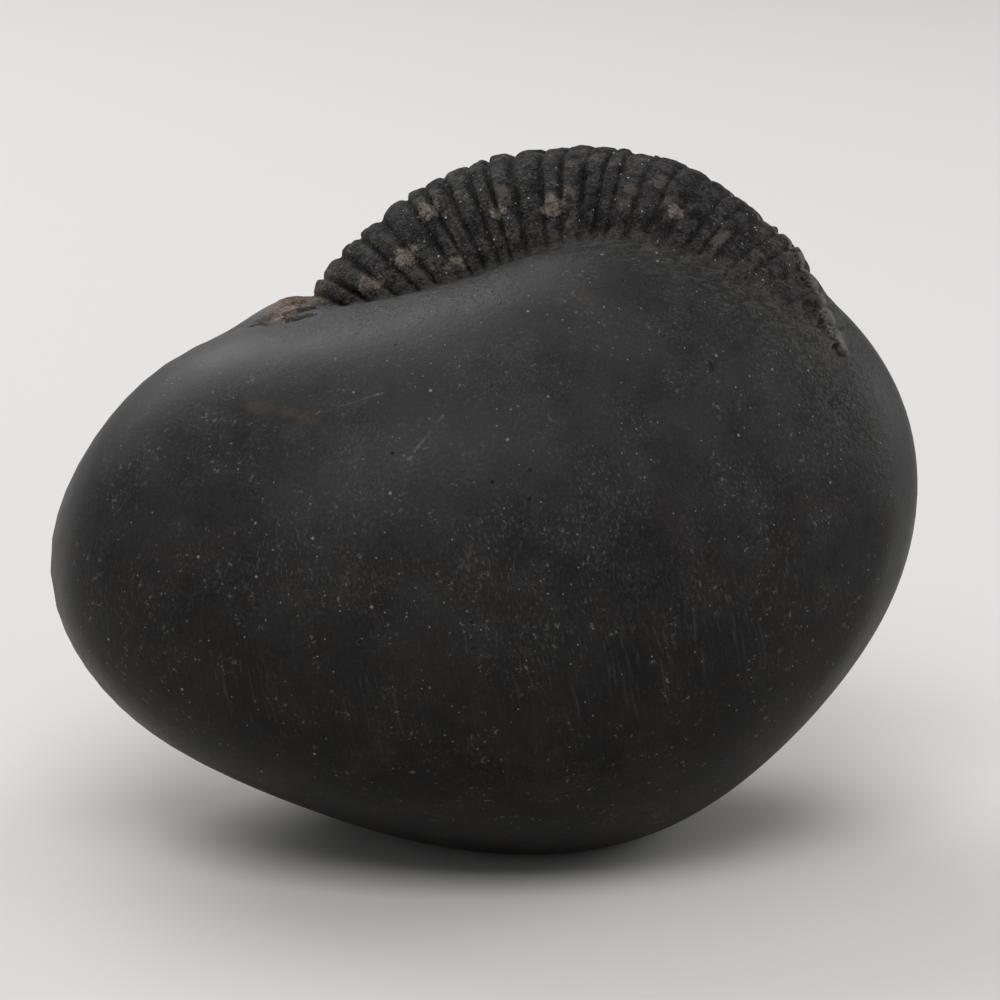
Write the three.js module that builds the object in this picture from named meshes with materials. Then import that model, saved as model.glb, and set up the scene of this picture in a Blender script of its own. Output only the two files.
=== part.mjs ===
// A fossil ammonite in its black, water-worn stone.
// The stone is one smooth kidney-shaped nodule. Along its top, the worn outer rim of the coiled shell
// stands out as a band of close ribs, and the rest of the shell is hidden inside.
// Units are millimetres, +Z is up, +X is the viewer's right and +Y points away from the viewer.
// The origin is at the bottom centre of the stone's box, on the flat that it rests on.
import * as THREE from "three";

// Placing of the coil: its centre, how far its plane leans back, and how far its right end comes forward
const COIL_CENTRE = [13.2, 3.9, 43.5];
const COIL_LEAN = 20;
const COIL_YAW = 18;

// The outer whorl: its reach from the coil's centre straight up, how much it grows in one turn,
// and the section's half height and half width as shares of that reach, narrower towards the right
const RIM_REACH = 35.0;
const TURN_GROWTH = 1.9;
const SECTION_HALF_HEIGHT = 0.4;
const SECTION_HALF_WIDTH = 0.38;
const NARROWING = { from: 95, to: 15, share: 0.06 };

// On the top, between these angles, the rim stands a little higher than the spiral
const RIM_TOP_HEIGHT = 0.8;
const RIM_TOP_RIGHT = { from: 64, to: 84 };
const RIM_TOP_LEFT = { from: 120, to: 142 };

// Angles round the coil are in degrees, counted from the right over the top, and once round from here
const FIRST_ANGLE = -110;

// The bare rim dives under the stone between these angles
const RIGHT_END = { from: -10, to: -60 };
const LEFT_END = { from: 158, to: 190 };
const DIVE_DEPTH = 12;

// Ribs: how many, the angle of the first, the angle between two, and over what angle the outer ones fade
const RIB_COUNT = 31;
const FIRST_RIB = 21;
const RIB_STEP = 4.6;
const RIB_FADE = 8;

// The ribs' height, the share of it that lies below the plain whorl, the half width of the grooves
// between them as a share of the spacing, how round their tops are, and how much they differ,
// with the two rates at which the difference comes and goes from rib to rib
const RIB_HEIGHT = 0.95;
const RIB_SUNKEN_SHARE = 0.6;
const GROOVE_HALF_WIDTH = 0.13;
const RIB_ROUNDING = 0.2;
const RIB_UNEVENNESS = { share: 0.25, fastRate: 2.4, slowRate: 1.1 };

// The ribs aren't evenly spaced: waves of these lengths shift them round the coil by up to these angles
const RIB_SHIFTS = [
  { shift: 0.45, length: 13 },
  { shift: 0.8, length: 31 },
];

// The ribs are worn low on the top, on the near side of the right end, and along the middle of the rim.
// They end on the side of the whorl, where 1 is its half width.
const WORN_TOP = { angle: 80, spread: 24, share: 0.45 };
const WORN_RIGHT = { from: 75, to: 50, share: 0.5 };
const WORN_RIGHT_SIDE = { from: -0.3, to: 0 };
const WORN_MIDDLE = { across: 0.15, halfWidth: 0.6, share: 0.7, rightShare: 0.2 };
const RIB_SIDE_END = { from: 0.8, to: 1.25 };

// Away from the middle of the rim the ribs swing to the right by this angle at the half width,
// growing with the square of the distance up to this many times the angle
const RIB_SWING = 3.0;
const MOST_SWING = 1.5;

// A low keel runs along the rim on the right and ends on the top. It leaves the middle between these
// angles, and comes forward by this much.
const KEEL_HEIGHT = 0.5;
const KEEL_HALF_WIDTH = 1.4;
const KEEL_END = { from: 46, to: 66 };
const KEEL_SHIFT = { from: 66, to: 26 };
const KEEL_FORWARD = 2.8;

// The smooth stone: radii of its outline every 18 degrees, from the right over the top,
// its reach to the front and the back, the power that squares its section a little,
// how far it leans back and is turned, and its centre from the coil's centre
const BODY_RADII = [
  49.0, 52.6, 50.8, 46.0, 40.3, 33.9, 32.2, 35.2, 42.6, 47.2,
  49.3, 44.8, 38.0, 33.8, 32.2, 32.4, 34.2, 37.1, 40.1, 44.0,
];
const BODY_FRONT = 33.5;
const BODY_BACK = 32;
const BODY_POWER = 2.4;
const BODY_LEAN = 15;
const BODY_YAW = -7.5;
const BODY_FROM_COIL = [-13.9, -3.25, -12.05];

// Towards the front and back faces the outline turns into a plain oval of these half sizes,
// starting and ending at these shares of the depth
const FACE_RIGHT = 45;
const FACE_UP = 34;
const FACE_BLEND = { from: 0.3, to: 1 };

// Past its right end, the buried rim still shows as a soft ridge, a little in front of the coil's plane
const BURIED_RIM = { height: 0.7, halfWidth: 4.5, away: -3.0 };
const BURIED_START = { from: 30, to: 10 };
const BURIED_END = { from: -20, to: -50 };

// Where the stone meets the ribbed band, it is rounded over these widths, and more softly on the right.
// A crevice is worn along the left.
const JOIN_WIDTH = { left: 1.0, right: 1.5 };
const JOIN_CHANGE = { from: 115, to: 90 };
const CREVICE_DEPTH = 0.5;
const CREVICE_HALF_WIDTH = 1.2;

// At the left end of the band, a low lip of stone rises behind a broken hollow with a pit at its end
const LIP_FROM_COIL = [-36.0, 12.0, 15.2];
const LIP_HEIGHT = 3.8;
const LIP_RADIUS = 8.0;
const HOLLOWS = [
  { place: [-37.4, -2.5, 16.1], radius: 2.4, depth: 0.8 },
  { place: [-35.8, -5.0, 16.9], radius: 2.6, depth: 0.9 },
  { place: [-34.2, -4.0, 17.0], radius: 2.4, depth: 0.8 },
  { place: [-36.8, 1.5, 16.5], radius: 3.0, depth: 0.7 },
  { place: [-35.6, 6.0, 17.0], radius: 2.6, depth: 0.6 },
  { place: [-34.0, 2.2, 16.2], radius: 2.0, depth: 1.8 },
];

// Small chips are broken out of the near side of the keel at the right end
const CHIPS = [
  { place: [24.0, -5.6, 18.1], radius: 2.2, depth: 0.7 },
  { place: [25.6, -5.9, 16.4], radius: 1.6, depth: 0.6 },
  { place: [26.6, -7.4, 14.3], radius: 1.0, depth: 0.6 },
  { place: [23.1, -2.7, 21.2], radius: 1.2, depth: 0.6 },
];

// The hollow and the chips are round dents, each with an edge that starts at this share of its radius
const DENT_EDGE = 0.6;

// Low swells of the worn surface: height, and the direction and length of each wave
const SWELL_HEIGHT = 0.25;
const SWELLS = [
  { along: [1, 0.6, 0.2], length: 62, start: 0.5 },
  { along: [-0.3, 1, 0.5], length: 54, start: 2.1 },
  { along: [0.4, -0.5, 1], length: 46, start: 4.0 },
];

// The worn flat under the stone has a rounded edge of this height
const FLAT_EDGE = 1.0;

// Mesh: columns to a rib, how many rib steps they go on past the last rib, columns round the rest,
// rows across the ribbed band and beyond it on each side.
// A rib reaches the whorl's half width at about the side latitude.
const COLUMNS_PER_RIB = 4;
const EXTRA_STEPS = 2;
const PLAIN_COLUMNS = 40;
const BAND_LATITUDE = 36;
const SIDE_LATITUDE = 24;
const BAND_ROWS = 16;
const SIDE_ROWS = 5;

// Each surface point is found by halving the stretch between these distances from the coil's centre
const NEAREST = 4;
const FARTHEST = 85;
const HALVINGS = 30;

// The columns of the mesh are moved to follow the shifted ribs, by trying again this many times
const SHIFT_ROUNDS = 8;

const RADIANS = Math.PI / 180;

// Three axes of a plane that leans back and is turned about the vertical: right, away and up
function tiltedAxes(lean, yaw) {
  const turn = new THREE.Matrix4().makeRotationZ(-yaw * RADIANS);
  const tilt = new THREE.Matrix4().makeRotationX(-lean * RADIANS);
  const axes = [new THREE.Vector3(), new THREE.Vector3(), new THREE.Vector3()];
  turn.multiply(tilt).extractBasis(...axes);
  return axes;
}

const COIL_AXES = tiltedAxes(COIL_LEAN, COIL_YAW);
const BODY_AXES = tiltedAxes(BODY_LEAN, BODY_YAW);
const BODY_OFFSET = new THREE.Vector3(...BODY_FROM_COIL);
const LIP_CENTRE = new THREE.Vector3(...LIP_FROM_COIL);
const DENTS = [...HOLLOWS, ...CHIPS].map((dent) => ({ ...dent, place: new THREE.Vector3(...dent.place) }));

function smoothStep(value, from, to) {
  const share = Math.min(Math.max((value - from) / (to - from), 0), 1);
  return share * share * (3 - 2 * share);
}

// Radius of the stone's outline at an angle: a smooth closed curve through the named radii
function outlineRadius(angle) {
  const count = BODY_RADII.length;
  const radius = (index) => BODY_RADII[(index + count) % count];
  const pull = (index) => {
    const bend = radius(index - 1) - 2 * radius(index) + radius(index + 1);
    return radius(index) - bend / 6;
  };
  const place = ((angle / (2 * Math.PI) + 1) % 1) * count;
  const first = Math.floor(place);
  const t = place - first;
  const weights = [
    (1 - t) ** 3,
    3 * t ** 3 - 6 * t ** 2 + 4,
    -3 * t ** 3 + 3 * t ** 2 + 3 * t + 1,
    t ** 3,
  ];
  let sum = 0;
  weights.forEach((weight, step) => {
    sum += (weight / 6) * pull(first - 1 + step);
  });
  return sum;
}

// How far a point lies outside the smooth stone; it is below zero inside
function outsideBody(point) {
  const local = point.clone().sub(BODY_OFFSET);
  const right = local.dot(BODY_AXES[0]);
  const away = local.dot(BODY_AXES[1]);
  const up = local.dot(BODY_AXES[2]);
  const angle = Math.atan2(up, right);
  const deep = Math.abs(away) / (away < 0 ? BODY_FRONT : BODY_BACK);
  const face = 1 / Math.hypot(Math.cos(angle) / FACE_RIGHT, Math.sin(angle) / FACE_UP);
  const blend = smoothStep(deep, FACE_BLEND.from, FACE_BLEND.to);
  const reach = outlineRadius(angle) * (1 - blend) + face * blend;
  const round = Math.hypot(right, up) / reach;
  const share = (round ** BODY_POWER + deep ** BODY_POWER) ** (1 / BODY_POWER);
  return local.length() * (1 - 1 / share);
}

// How far the ribs at an angle are shifted back from even spacing
function ribShift(angle) {
  let shifted = 0;
  for (const { shift, length } of RIB_SHIFTS) {
    shifted += shift * Math.sin((angle * 2 * Math.PI) / length);
  }
  return shifted;
}

// How much of the ribs is left at an angle of the coil and a place across the rim,
// which is 0 in the middle and 1 at the half width
function ribStrength(angle, across) {
  const lastRib = FIRST_RIB + (RIB_COUNT - 1) * RIB_STEP;
  const start = smoothStep(angle, FIRST_RIB - RIB_FADE, FIRST_RIB + RIB_FADE);
  const end = 1 - smoothStep(angle, lastRib - RIB_FADE, lastRib + RIB_FADE);
  const side = 1 - smoothStep(Math.abs(across), RIB_SIDE_END.from, RIB_SIDE_END.to);
  const topWear = WORN_TOP.share * Math.exp(-(((angle - WORN_TOP.angle) / WORN_TOP.spread) ** 2));
  const onRight = smoothStep(-angle, -WORN_RIGHT.from, -WORN_RIGHT.to);
  const onNearSide = 1 - smoothStep(across, WORN_RIGHT_SIDE.from, WORN_RIGHT_SIDE.to);
  const nearWear = WORN_RIGHT.share * onRight * onNearSide;
  const fromMiddle = (across - WORN_MIDDLE.across) / WORN_MIDDLE.halfWidth;
  const middleShare = WORN_MIDDLE.share * (1 - onRight) + WORN_MIDDLE.rightShare * onRight;
  const middleWear = middleShare * Math.exp(-(fromMiddle ** 2));
  return start * end * side * (1 - topWear) * (1 - nearWear) * (1 - middleWear);
}

// How far the ribs stand out at an angle of the coil and a place across the rim
function ribHeight(angle, across) {
  const swung = angle + RIB_SWING * Math.min(across * across, MOST_SWING);
  const place = (swung + ribShift(swung) - FIRST_RIB) / RIB_STEP;
  const number = Math.round(place);
  const phase = place - number;
  const groove = Math.exp(-(((0.5 - Math.abs(phase)) / GROOVE_HALF_WIDTH) ** 2));
  const rounding = 1 - RIB_ROUNDING * (1 - Math.cos(Math.PI * phase));
  const { share, fastRate, slowRate } = RIB_UNEVENNESS;
  const uneven = 1 + share * Math.sin(number * fastRate) * Math.cos(number * slowRate);
  const profile = (1 - groove) * rounding - RIB_SUNKEN_SHARE;
  return RIB_HEIGHT * profile * uneven * ribStrength(angle, across);
}

// The angle of a point round the coil, how far it lies outside the plain outer whorl, how high the ribs
// and keel stand there, and how high the buried rim lifts the stone
function coilSurface(point) {
  const right = point.dot(COIL_AXES[0]);
  const away = point.dot(COIL_AXES[1]);
  const up = point.dot(COIL_AXES[2]);
  let angle = Math.atan2(up, right) / RADIANS;
  if (angle < FIRST_ANGLE) {
    angle += 360;
  }
  const fromRight = smoothStep(angle, RIM_TOP_RIGHT.from, RIM_TOP_RIGHT.to);
  const onTop = fromRight * (1 - smoothStep(angle, RIM_TOP_LEFT.from, RIM_TOP_LEFT.to));
  const reach = RIM_REACH * TURN_GROWTH ** ((angle - 90) / 360) + RIM_TOP_HEIGHT * onTop;
  const halfHeight = reach * SECTION_HALF_HEIGHT;
  const narrowed = NARROWING.share * smoothStep(-angle, -NARROWING.from, -NARROWING.to);
  const across = away / (reach * (SECTION_HALF_WIDTH - narrowed));
  const rise = (Math.hypot(right, up) - reach + halfHeight) / halfHeight;
  const section = (Math.hypot(rise, across) - 1) * halfHeight;
  const keelFade = 1 - smoothStep(angle, KEEL_END.from, KEEL_END.to);
  const forward = KEEL_FORWARD * smoothStep(-angle, -KEEL_SHIFT.from, -KEEL_SHIFT.to);
  const keel = KEEL_HEIGHT * Math.exp(-(((away + forward) / KEEL_HALF_WIDTH) ** 2)) * keelFade;
  const leftDive = smoothStep(angle, LEFT_END.from, LEFT_END.to);
  const rightDive = smoothStep(-angle, -RIGHT_END.from, -RIGHT_END.to);
  const buriedStart = smoothStep(-angle, -BURIED_START.from, -BURIED_START.to);
  const buried = buriedStart * (1 - smoothStep(-angle, -BURIED_END.from, -BURIED_END.to));
  const ridge = Math.exp(-(((away - BURIED_RIM.away) / BURIED_RIM.halfWidth) ** 2));
  return {
    angle,
    outside: section + DIVE_DEPTH * (leftDive + rightDive),
    relief: ribHeight(angle, across) + keel,
    lift: BURIED_RIM.height * buried * ridge,
  };
}

// How deep the broken hollow and the chips go in at a point
function dentDepth(point) {
  let sum = 0;
  for (const { place, radius, depth } of DENTS) {
    const distance = point.distanceTo(place);
    sum += depth * smoothStep(-distance, -radius, -radius * DENT_EDGE);
  }
  return sum;
}

function swellHeight(point) {
  let sum = 0;
  for (const { along, length, start } of SWELLS) {
    const travel = point.x * along[0] + point.y * along[1] + point.z * along[2];
    sum += SWELL_HEIGHT * Math.sin((travel * 2 * Math.PI) / length + start);
  }
  return sum;
}

// How far a point, measured from the coil's centre, lies outside the whole stone
function outsideStone(point) {
  const { angle, outside: coil, relief, lift } = coilSurface(point);
  const lip = LIP_HEIGHT * Math.exp(-point.distanceToSquared(LIP_CENTRE) / LIP_RADIUS ** 2);
  const body = outsideBody(point) - lift - lip;
  const softness = smoothStep(-angle, -JOIN_CHANGE.from, -JOIN_CHANGE.to);
  const joinWidth = JOIN_WIDTH.left * (1 - softness) + JOIN_WIDTH.right * softness;
  const mix = Math.min(Math.max(0.5 + (0.5 * (coil - body)) / joinWidth, 0), 1);
  const joined = coil * (1 - mix) + body * mix - joinWidth * mix * (1 - mix);
  const fromSeam = (body - coil) / CREVICE_HALF_WIDTH;
  const crevice = CREVICE_DEPTH * (1 - softness) * Math.exp(-(fromSeam ** 2));
  return joined + crevice + dentDepth(point) + swellHeight(point) - relief * (1 - mix);
}

// Flattens the underside to the resting plane, with a rounded edge
function restHeight(z) {
  if (z >= FLAT_EDGE) {
    return z;
  }
  if (z <= -FLAT_EDGE) {
    return 0;
  }
  return (z + FLAT_EDGE) ** 2 / (4 * FLAT_EDGE);
}

// The surface point in the direction given by an angle round the coil and a latitude off its plane
function surfacePoint(angle, latitude) {
  const direction = new THREE.Vector3()
    .addScaledVector(COIL_AXES[0], Math.cos(latitude) * Math.cos(angle))
    .addScaledVector(COIL_AXES[1], Math.sin(latitude))
    .addScaledVector(COIL_AXES[2], Math.cos(latitude) * Math.sin(angle));
  let inside = NEAREST;
  let outside = FARTHEST;
  for (let halving = 0; halving < HALVINGS; halving += 1) {
    const middle = (inside + outside) / 2;
    if (outsideStone(direction.clone().multiplyScalar(middle)) < 0) {
      inside = middle;
    } else {
      outside = middle;
    }
  }
  const point = direction.multiplyScalar(inside).add(new THREE.Vector3(...COIL_CENTRE));
  point.z = restHeight(point.z);
  return point;
}

// Angles of the mesh's columns along the middle of the rim: close over the ribs, wide round the rest
function columnAngles() {
  const angles = [];
  const firstEdge = FIRST_RIB - RIB_STEP / 2;
  const closeSteps = RIB_COUNT + EXTRA_STEPS;
  const closeSpan = closeSteps * RIB_STEP;
  const closeColumns = closeSteps * COLUMNS_PER_RIB;
  for (let column = 0; column < closeColumns; column += 1) {
    angles.push(firstEdge + (column * closeSpan) / closeColumns);
  }
  for (let column = 0; column < PLAIN_COLUMNS; column += 1) {
    angles.push(firstEdge + closeSpan + (column * (360 - closeSpan)) / PLAIN_COLUMNS);
  }
  return angles.map((even) => {
    let shifted = even;
    for (let round = 0; round < SHIFT_ROUNDS; round += 1) {
      shifted = even - ribShift(shifted);
    }
    return shifted;
  });
}

// Latitudes of the mesh's rows between the two poles, close together across the ribbed band
function rowLatitudes() {
  const latitudes = [];
  const sideStep = (90 - BAND_LATITUDE) / SIDE_ROWS;
  for (let row = 1; row < SIDE_ROWS; row += 1) {
    latitudes.push(-90 + row * sideStep);
  }
  for (let row = 0; row <= BAND_ROWS; row += 1) {
    latitudes.push(-BAND_LATITUDE + (row * 2 * BAND_LATITUDE) / BAND_ROWS);
  }
  for (let row = 1; row < SIDE_ROWS; row += 1) {
    latitudes.push(BAND_LATITUDE + row * sideStep);
  }
  return latitudes;
}

// Columns follow the swing of the ribs away from the middle of the rim
function columnSwing(latitude) {
  return RIB_SWING * Math.min((latitude / SIDE_LATITUDE) ** 2, MOST_SWING);
}

function stoneGeometry() {
  const angles = columnAngles();
  const latitudes = rowLatitudes();
  const count = angles.length;
  const points = [surfacePoint(0, -Math.PI / 2)];
  for (const latitude of latitudes) {
    for (const angle of angles) {
      points.push(surfacePoint((angle - columnSwing(latitude)) * RADIANS, latitude * RADIANS));
    }
  }
  const lastPole = points.length;
  points.push(surfacePoint(0, Math.PI / 2));

  const triangles = [];
  const vertex = (row, column) => 1 + row * count + (column % count);
  const lastRow = latitudes.length - 1;
  for (let column = 0; column < count; column += 1) {
    triangles.push(0, vertex(0, column), vertex(0, column + 1));
    triangles.push(lastPole, vertex(lastRow, column + 1), vertex(lastRow, column));
  }
  for (let row = 0; row < lastRow; row += 1) {
    for (let column = 0; column < count; column += 1) {
      const a = vertex(row, column);
      const b = vertex(row, column + 1);
      const c = vertex(row + 1, column + 1);
      const d = vertex(row + 1, column);
      // Each four-sided cell is split along its shorter diagonal
      if (points[a].distanceTo(points[c]) < points[b].distanceTo(points[d])) {
        triangles.push(a, c, b, a, d, c);
      } else {
        triangles.push(a, d, b, b, d, c);
      }
    }
  }
  const geometry = new THREE.BufferGeometry();
  const coordinates = points.flatMap((point) => point.toArray());
  geometry.setAttribute("position", new THREE.Float32BufferAttribute(coordinates, 3));
  geometry.setIndex(triangles);
  geometry.computeVertexNormals();
  return geometry;
}

const stoneMaterial = new THREE.MeshStandardMaterial({ color: 0x2c2b2b, roughness: 0.55, metalness: 0 });

const ammonite = new THREE.Mesh(stoneGeometry(), stoneMaterial);
ammonite.name = "ammonite_stone";

const part = new THREE.Group();
part.add(ammonite);

export default part;
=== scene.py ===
"""A fossil ammonite in its black, water-worn stone.

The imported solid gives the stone's place and size. This script works out the same surface on a much finer
mesh, adds the worn detail of the ribs, and gives the stone its material, a pale floor, light and a camera.
Sizes are in millimetres and angles in degrees, unless a comment says otherwise, and meshes are scaled to
metres as they are made.
"""
import math

import bpy
import numpy as np
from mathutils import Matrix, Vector


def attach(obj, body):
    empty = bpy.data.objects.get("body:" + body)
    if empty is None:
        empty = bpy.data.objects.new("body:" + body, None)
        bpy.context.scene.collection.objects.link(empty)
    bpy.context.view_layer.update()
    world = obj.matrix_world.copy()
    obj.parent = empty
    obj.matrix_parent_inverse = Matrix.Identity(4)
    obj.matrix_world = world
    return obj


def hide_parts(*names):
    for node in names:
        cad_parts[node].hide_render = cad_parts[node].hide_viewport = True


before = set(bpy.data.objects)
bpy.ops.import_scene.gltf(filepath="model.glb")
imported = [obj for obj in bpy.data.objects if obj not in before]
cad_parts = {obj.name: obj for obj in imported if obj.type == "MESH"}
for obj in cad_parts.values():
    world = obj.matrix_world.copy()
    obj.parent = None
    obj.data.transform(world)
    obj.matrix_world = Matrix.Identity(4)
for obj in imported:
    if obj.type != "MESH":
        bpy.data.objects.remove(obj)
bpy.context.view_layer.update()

MM = 0.001
NODE = "ammonite_stone"

# Placing of the coil: its centre, how far its plane leans back, and how far its right end comes forward
COIL_CENTRE = (13.2, 3.9, 43.5)
COIL_LEAN = 20
COIL_YAW = 18

# The outer whorl: its reach from the coil's centre straight up, how much it grows in one turn,
# and the section's half height and half width as shares of that reach, narrower towards the right
RIM_REACH = 35.0
TURN_GROWTH = 1.9
SECTION_HALF_HEIGHT = 0.4
SECTION_HALF_WIDTH = 0.38
NARROWING = {"start": 95, "end": 15, "share": 0.06}

# On the top, the rim stands a little higher than the spiral
RIM_TOP_HEIGHT = 0.8
RIM_TOP_RIGHT = {"start": 64, "end": 84}
RIM_TOP_LEFT = {"start": 120, "end": 142}

# Angles round the coil are counted from the right over the top, and once round from here
FIRST_ANGLE = -110

# The bare rim dives under the stone between these angles
RIGHT_END = {"start": -10, "end": -60}
LEFT_END = {"start": 158, "end": 190}
DIVE_DEPTH = 12

# Ribs: how many, the angle of the first and from each to the next, the angle over which both ends fade,
# and their height, with the share of it that lies under the plain whorl
RIB_COUNT = 31
FIRST_RIB = 21
RIB_STEP = 4.6
RIB_FADE = 8
RIB_HEIGHT = 0.95
RIB_SUNKEN_SHARE = 0.6

# A groove's half width as a share of the rib step, and how round a rib is between two grooves
GROOVE_HALF_WIDTH = 0.13
RIB_ROUNDING = 0.2

# The ribs differ in strength by up to this share, by a rule that takes their numbers
RIB_UNEVENNESS = {"share": 0.25, "fast_rate": 2.4, "slow_rate": 1.1}

# The ribs aren't evenly spaced: waves of these lengths shift them round the coil by up to these angles
RIB_SHIFTS = (
    {"shift": 0.45, "length": 13},
    {"shift": 0.8, "length": 31},
)

# Shares of the ribs that are worn away: round the top, on the near side of the right end, and along the
# middle of the rim. Places across the rim go from -1 on the near edge to 1 on the far edge.
WORN_TOP = {"angle": 80, "spread": 24, "share": 0.45}
WORN_RIGHT = {"start": 75, "end": 50, "share": 0.5}
WORN_NEAR_SIDE = {"start": 0.0, "end": -0.3}
WORN_MIDDLE = {"across": 0.15, "half_width": 0.6, "share": 0.7, "right_share": 0.2}

# Where the ribs end across the rim, and how far they swing back from the middle of the rim to its sides
RIB_SIDE_END = {"start": 0.8, "end": 1.25}
RIB_SWING = 3.0
MOST_SWING = 1.5

# A thin keel runs along the rim on the right and ends on the top. Between the angles of its shift, from the
# top to the right, it leaves the middle and comes forward.
KEEL_HEIGHT = 0.5
KEEL_HALF_WIDTH = 0.6
KEEL_END = {"start": 46, "end": 66}
KEEL_SHIFT = {"start": 66, "end": 26}
KEEL_FORWARD = 2.8

# The smooth stone: radii of its outline every 18 degrees, from the right over the top,
# its reach to the front and the back, the power that squares its section a little,
# how far it leans back and is turned, and its centre from the coil's centre
BODY_RADII = (
    49.0, 52.6, 50.8, 46.0, 40.3, 33.9, 32.2, 35.2, 42.6, 47.2,
    49.3, 44.8, 38.0, 33.8, 32.2, 32.4, 34.2, 37.1, 40.1, 44.0,
)
BODY_FRONT = 33.5
BODY_BACK = 32
BODY_POWER = 2.4
BODY_LEAN = 15
BODY_YAW = -7.5
BODY_FROM_COIL = (-13.9, -3.25, -12.05)

# Towards the front and back faces the outline turns into a plain oval of these half sizes
FACE_RIGHT = 45
FACE_UP = 34
FACE_BLEND = {"start": 0.3, "end": 1}

# Past its right end, the buried rim still shows as a soft ridge, a little in front of the coil's plane
BURIED_RIM = {"height": 0.7, "half_width": 4.5, "away": -3.0}
BURIED_START = {"start": 30, "end": 10}
BURIED_END = {"start": -20, "end": -50}

# Where the stone meets the ribbed band, a crevice is worn along the left, and the right is rounded softly
JOIN_WIDTH = {"left": 1.0, "right": 1.5}
JOIN_CHANGE = {"start": 115, "end": 90}
CREVICE_DEPTH = 0.5
CREVICE_HALF_WIDTH = 1.2

# At the left end of the band, a low lip of stone rises behind a broken hollow with a pit at its end
LIP_FROM_COIL = (-36.0, 12.0, 15.2)
LIP_HEIGHT = 3.8
LIP_RADIUS = 8.0
HOLLOWS = (
    {"place": (-37.4, -2.5, 16.1), "radius": 2.4, "depth": 0.8},
    {"place": (-35.8, -5.0, 16.9), "radius": 2.6, "depth": 0.9},
    {"place": (-34.2, -4.0, 17.0), "radius": 2.4, "depth": 0.8},
    {"place": (-36.8, 1.5, 16.5), "radius": 3.0, "depth": 0.7},
    {"place": (-35.6, 6.0, 17.0), "radius": 2.6, "depth": 0.6},
    {"place": (-34.0, 2.2, 16.2), "radius": 2.0, "depth": 1.8},
)

# Small chips are broken out of the near side of the keel at the right end
CHIPS = (
    {"place": (24.0, -5.6, 18.1), "radius": 2.2, "depth": 0.7},
    {"place": (25.6, -5.9, 16.4), "radius": 1.6, "depth": 0.6},
    {"place": (26.6, -7.4, 14.3), "radius": 1.0, "depth": 0.6},
    {"place": (23.1, -2.7, 21.2), "radius": 1.2, "depth": 0.6},
)

# Every dent has an edge that starts at this share of its radius
DENT_EDGE = 0.6

# Low swells of the worn surface: height, and the direction and length of each wave
SWELL_HEIGHT = 0.25
SWELLS = (
    {"along": (1, 0.6, 0.2), "length": 62, "start": 0.5},
    {"along": (-0.3, 1, 0.5), "length": 54, "start": 2.1},
    {"along": (0.4, -0.5, 1), "length": 46, "start": 4.0},
)

# The worn flat under the stone has a rounded edge of this height
FLAT_EDGE = 1.0

# Mesh: columns to a rib, how many rib steps they go on past the last rib, columns round the rest,
# and rows across the ribbed band and beyond it on each side
COLUMNS_PER_RIB = 13
EXTRA_STEPS = 2
PLAIN_COLUMNS = 75
BAND_LATITUDE = 38
BAND_ROWS = 140
SIDE_ROWS = 28

# The latitude where the columns have swung back as far as the ribs at the edge of the rim
SIDE_LATITUDE = 24

# The surface lies between these distances from the coil's centre, and is found by halving the stretch
# this many times. The columns are shifted with the ribs in this many rounds.
NEAREST = 4
FARTHEST = 85
HALVINGS = 22
SHIFT_ROUNDS = 8

# Wear of the ribs, worked into the mesh: how unevenly they are worn, and their flakes and grain, each with
# its size and the seed of its noise
RIB_WEAR = {"size": 3.6, "share": 0.6, "seed": 7}
RIB_FLAKES = {"size": 2.2, "height": 0.26, "edge": 0.08, "seed": 15}
RIB_GRAINS = (
    {"size": 1.7, "height": 0.16, "seed": 8},
    {"size": 1.0, "height": 0.12, "seed": 9},
)
HOLLOW_GRAIN = {"size": 1.1, "height": 0.5, "seed": 16}

# Marks for the material, by how far the coil stands out of the stone: the ribbed band, the seam where the
# two meet, and the skin beside the band, which reaches farther on the left. Painted shade darkens the skin
# there.
RIBBED_EDGE = {"start": -0.6, "end": 1.4}
SEAM = {"place": 0.5, "half_width": 1.6}
NEAR_BAND = {"right_start": -6, "left_start": -25, "end": -1}
LEFT_PART = {"start": 95, "end": 120}

# Marks of the grooves: powers of their depth and of the ribs' strength, and the depth that notches the seam
GROOVE_DEPTH_POWER = 1.5
GROOVE_STRENGTH_POWER = 0.5
NOTCH_DEPTH = {"start": 0.15, "end": 0.5}

# Marks of the keel: its end on the right, its end on the top, and how far out of the stone it shows
KEEL_MARK_START = {"start": 18, "end": 30}
KEEL_MARK_END = {"start": 66, "end": 84}
KEEL_MARK_EDGE = {"start": -2.5, "end": -0.5}

# Marks of the lip, the crust and the chips, strengthened so that they are full before the very middle
LIP_MARK_FROM_COIL = (-36.0, 9.0, 16.9)
LIP_MARK_RADIUS = 4.5
LIP_MARK_STRENGTH = 1.3
CRUST_MARK_STRENGTH = 1.6
CHIP_MARK_STRENGTH = 2

# Names of all the marks, which the mesh hands to the material
MARKS = (
    "ribbed", "groove", "crust", "seam", "notch", "keel", "chip", "near_band", "lip", "hollow",
)

# Pale crust on the ribs: places from the coil's centre, and radii
CRUST_PATCHES = (
    ((-30.4, 1.0, 18.6), 1.1),
    ((-14.8, 1.5, 27.6), 0.9),
    ((-19.6, 4.0, 27.9), 1.8),
    ((-5.6, -1.0, 29.4), 1.6),
    ((-26.4, 0.2, 20.2), 1.9),
    ((-22.4, 0.4, 23.7), 1.9),
    ((-16.6, -2.2, 23.1), 1.4),
    ((-11.5, 0.2, 28.4), 1.3),
    ((8.3, -2.1, 29.2), 1.2),
)
CRUST_HEIGHT = 0.25

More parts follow.
